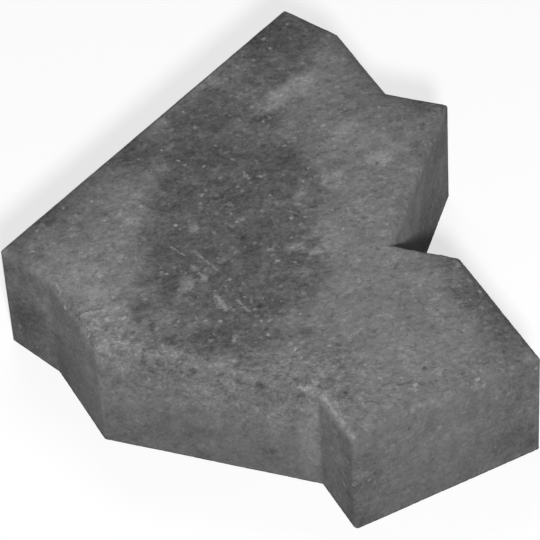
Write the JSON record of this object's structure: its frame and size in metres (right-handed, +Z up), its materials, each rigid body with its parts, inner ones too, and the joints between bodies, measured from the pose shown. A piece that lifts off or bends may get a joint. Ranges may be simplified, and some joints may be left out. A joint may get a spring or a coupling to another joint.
{
  "type": "edging stone",
  "caption": "L-shaped interlocking concrete paving block with zigzag sides and one long straight side for the edge of a paved area; bevelled top, plain flat bed.",
  "frame": {"origin": "middle of the stone's box in plan, on the bed face", "axes": "+Z up through the walking face, -Y out of the straight kerb side, +Y towards the end of the leg, +X along the kerb side"},
  "size_m": [0.221, 0.2304, 0.06],
  "materials": {
    "concrete": "matt dense pressed concrete, dark grey, fine pitted grain with small pale aggregate grains and faint wear"
  },
  "bodies": {
    "root": {"edging_stone": "concrete"}
  },
  "joints": []
}
